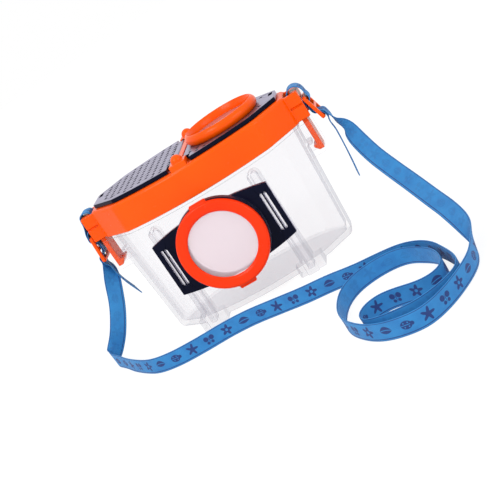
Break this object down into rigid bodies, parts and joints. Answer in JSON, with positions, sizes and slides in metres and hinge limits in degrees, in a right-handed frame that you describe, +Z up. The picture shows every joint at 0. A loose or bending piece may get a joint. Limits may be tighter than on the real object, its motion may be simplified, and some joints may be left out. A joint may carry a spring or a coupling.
{
  "type": "bug catcher jar",
  "caption": "Clear bug viewing jar with an orange lift-off lid, two hinged hatches, magnifiers on the front and on the lid, end latches and a blue neck strap.",
  "frame": {"origin": "under the middle of the clear jar, on the surface that it stands on", "axes": "+X along the jar towards the hatch with the small magnifier, -Y towards the large magnifier, +Z up"},
  "size_m": [0.2315, 0.2074, 0.0975],
  "materials": {
    "clear_plastic": "clear, polished",
    "navy_plastic": "glossy",
    "orange_plastic": "glossy",
    "red_orange_plastic": "glossy",
    "lens_plastic": "clear, polished",
    "blue_ribbon": "printed woven ribbon"
  },
  "bodies": {
    "jar": {"jar_body": "clear_plastic", "lens_plate": "navy_plastic", "strap_floor_run": "blue_ribbon"},
    "lid": {"lid_frame": "orange_plastic", "strap_slider_left": "orange_plastic", "strap_slider_right": "orange_plastic", "strap_loop_left": "blue_ribbon", "strap_loop_right": "blue_ribbon", "strap_tail_left": "blue_ribbon", "strap_tail_right": "blue_ribbon", "strap_drop_left": "blue_ribbon", "strap_drop_right": "blue_ribbon"},
    "vent_hatch": {"vent_hatch": "navy_plastic"},
    "lens_hatch": {"lens_hatch": "navy_plastic", "top_ring": "orange_plastic", "top_lens": "lens_plastic"},
    "latch_left": {"latch_left": "red_orange_plastic"},
    "latch_right": {"latch_right": "red_orange_plastic"},
    "front_ring": {"front_ring": "red_orange_plastic", "front_lens": "lens_plastic"}
  },
  "joints": [
    {"name": "lid_lift", "type": "slide", "parent": "jar", "child": "lid", "axis": [0, 0, 1], "range_m": [0, 0.016]},
    {"name": "latch_left_swing", "type": "hinge", "parent": "lid", "child": "latch_left", "pos_m": [-0.0689, 0, 0.0748], "axis": [0, 1, 0], "range_deg": [0, 9.1]},
    {"name": "latch_right_swing", "type": "hinge", "parent": "lid", "child": "latch_right", "pos_m": [0.0689, 0, 0.0748], "axis": [0, -1, 0], "range_deg": [0, 9.1]},
    {"name": "vent_hatch_swing", "type": "hinge", "parent": "lid", "child": "vent_hatch", "pos_m": [-0.0033, 0, 0.0901], "axis": [0, 1, 0], "range_deg": [0, 75]},
    {"name": "lens_hatch_swing", "type": "hinge", "parent": "lid", "child": "lens_hatch", "pos_m": [0.0033, 0, 0.0901], "axis": [0, -1, 0], "range_deg": [0, 70]},
    {"name": "front_ring_turn", "type": "hinge", "parent": "jar", "child": "front_ring", "pos_m": [0, -0.045, 0.043], "axis": [0, -1, 0], "range_deg": [0, 45]}
  ],
  "couplings": [
    {"joint": "latch_left_swing", "follows": "lid_lift", "rad_per_m": 9.8},
    {"joint": "latch_right_swing", "follows": "lid_lift", "rad_per_m": 9.8}
  ]
}
